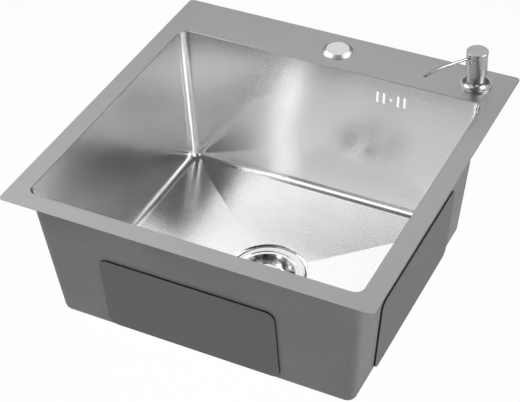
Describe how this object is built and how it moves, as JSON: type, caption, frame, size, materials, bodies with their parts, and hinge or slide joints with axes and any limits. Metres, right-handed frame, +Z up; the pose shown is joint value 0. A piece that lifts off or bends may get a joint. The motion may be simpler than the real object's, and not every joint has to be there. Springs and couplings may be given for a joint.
{
  "type": "kitchen sink",
  "caption": "Drop-in kitchen sink of folded steel sheet: flat deck, leaning square bowl with a creased floor, basket strainer waste, capped tap hole and deck soap pump.",
  "frame": {"origin": "middle of the square deck in plan, in the plane of the worktop that the deck's rim seal rests on", "axes": "+X to the right as a person at the sink sees it, +Y to the rear of the deck where the tap hole is, +Z up"},
  "size_m": [0.5, 0.5, 0.3754],
  "materials": {
    "satin_steel": "satin, fine grain",
    "foam": "closed-cell foam",
    "sound_pad": "matt",
    "polished_steel": "polished",
    "rubber": "matt",
    "white_plastic": "moulded",
    "brass": "turned",
    "cap_steel": "satin",
    "zinc_steel": "zinc plated",
    "brushed_nickel": "fine brushed",
    "spring_steel": "bright wire"
  },
  "bodies": {
    "root": {"deck_plate": "satin_steel", "bowl": "satin_steel", "rim_seal": "foam", "front_pad": "sound_pad", "right_pad": "sound_pad", "rear_pad": "sound_pad", "left_pad": "sound_pad", "strainer_cup": "polished_steel", "flange_gasket": "rubber", "under_gasket": "rubber", "waste_housing": "white_plastic", "screw_insert": "brass", "centre_screw": "polished_steel", "hole_cap": "cap_steel", "cap_seal": "rubber", "cap_stud": "zinc_steel", "cap_bridge": "zinc_steel", "wing_nut": "zinc_steel", "pump_base": "brushed_nickel", "base_seal": "rubber", "shank_washer": "rubber", "shank_nut": "white_plastic", "pump_cylinder": "white_plastic", "pump_collar": "white_plastic", "return_spring": "spring_steel"},
    "basket": {"basket": "polished_steel", "basket_knob": "polished_steel", "basket_stem": "polished_steel", "stopper": "rubber"},
    "plunger": {"piston": "white_plastic", "pump_tube": "white_plastic"},
    "head": {"pump_head": "brushed_nickel", "head_core": "white_plastic", "spout": "polished_steel"},
    "valve": {"inlet_ball": "polished_steel"}
  },
  "joints": [
    {"name": "basket_lift", "type": "slide", "parent": "root", "child": "basket", "axis": [0, 0, 1], "range_m": [0, 0.32]},
    {"name": "pump_press", "type": "slide", "parent": "root", "child": "plunger", "axis": [0, 0, -1], "range_m": [0, 0.012], "stiffness_N_per_m": 300, "springref_m": -0.01, "deforming": ["return_spring"]},
    {"name": "head_swivel", "type": "hinge", "parent": "plunger", "child": "head", "pos_m": [0.2, 0.212, 0.0494], "axis": [0, 0, 1], "continuous": true},
    {"name": "ball_lift", "type": "slide", "parent": "root", "child": "valve", "axis": [0, 0, 1], "range_m": [0, 0.0015]}
  ]
}
